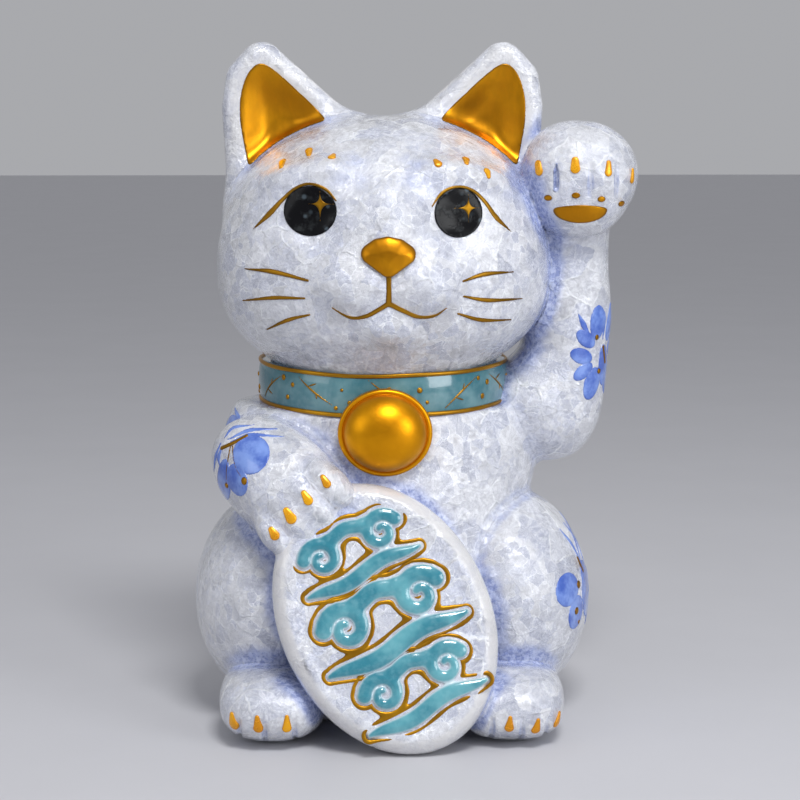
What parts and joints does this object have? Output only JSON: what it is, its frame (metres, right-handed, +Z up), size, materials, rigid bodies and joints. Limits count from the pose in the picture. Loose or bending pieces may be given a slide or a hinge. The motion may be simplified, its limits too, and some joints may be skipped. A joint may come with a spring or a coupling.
{
  "type": "ceramic cat figurine",
  "caption": "Seated cat figurine in glazed ceramic with a raised paw, a collar and bell, and an oval coin plaque held in front; it rests on a flat base.",
  "frame": {"origin": "on the resting plane, under the middle of the head, on the flat base of the body casting", "axes": "+Z up, the cat faces -Y, +X is the cat's own left, the side of its raised arm"},
  "size_m": [0.1652, 0.1413, 0.2499],
  "materials": {
    "white_glaze": "glossy crystalline glaze, white with lavender and blue pooling",
    "teal_enamel": "glossy raised enamel",
    "gold_enamel": "gold lustre, satin to glossy",
    "black_enamel": "glossy, mottled with grey",
    "blue_enamel": "glossy translucent enamel"
  },
  "bodies": {
    "root": {"body_shell": "white_glaze", "head_shell": "white_glaze", "left_ear": "white_glaze", "right_ear": "white_glaze", "left_ear_lining": "gold_enamel", "right_ear_lining": "gold_enamel", "raised_arm": "white_glaze", "lowered_arm": "white_glaze", "left_haunch": "white_glaze", "right_haunch": "white_glaze", "left_foot": "white_glaze", "right_foot": "white_glaze", "tail": "white_glaze", "coin_plaque": "white_glaze", "upper_scroll": "teal_enamel", "middle_scroll": "teal_enamel", "lower_scroll": "teal_enamel", "collar_band": "teal_enamel", "collar_upper_cord": "gold_enamel", "collar_lower_cord": "gold_enamel", "bell": "gold_enamel", "left_eye": "black_enamel", "right_eye": "black_enamel", "nose": "gold_enamel", "raised_paw_claws": "gold_enamel", "raised_paw_pads": "gold_enamel", "lowered_paw_claws": "gold_enamel", "left_foot_claws": "gold_enamel", "right_foot_claws": "gold_enamel"}
  },
  "joints": []
}
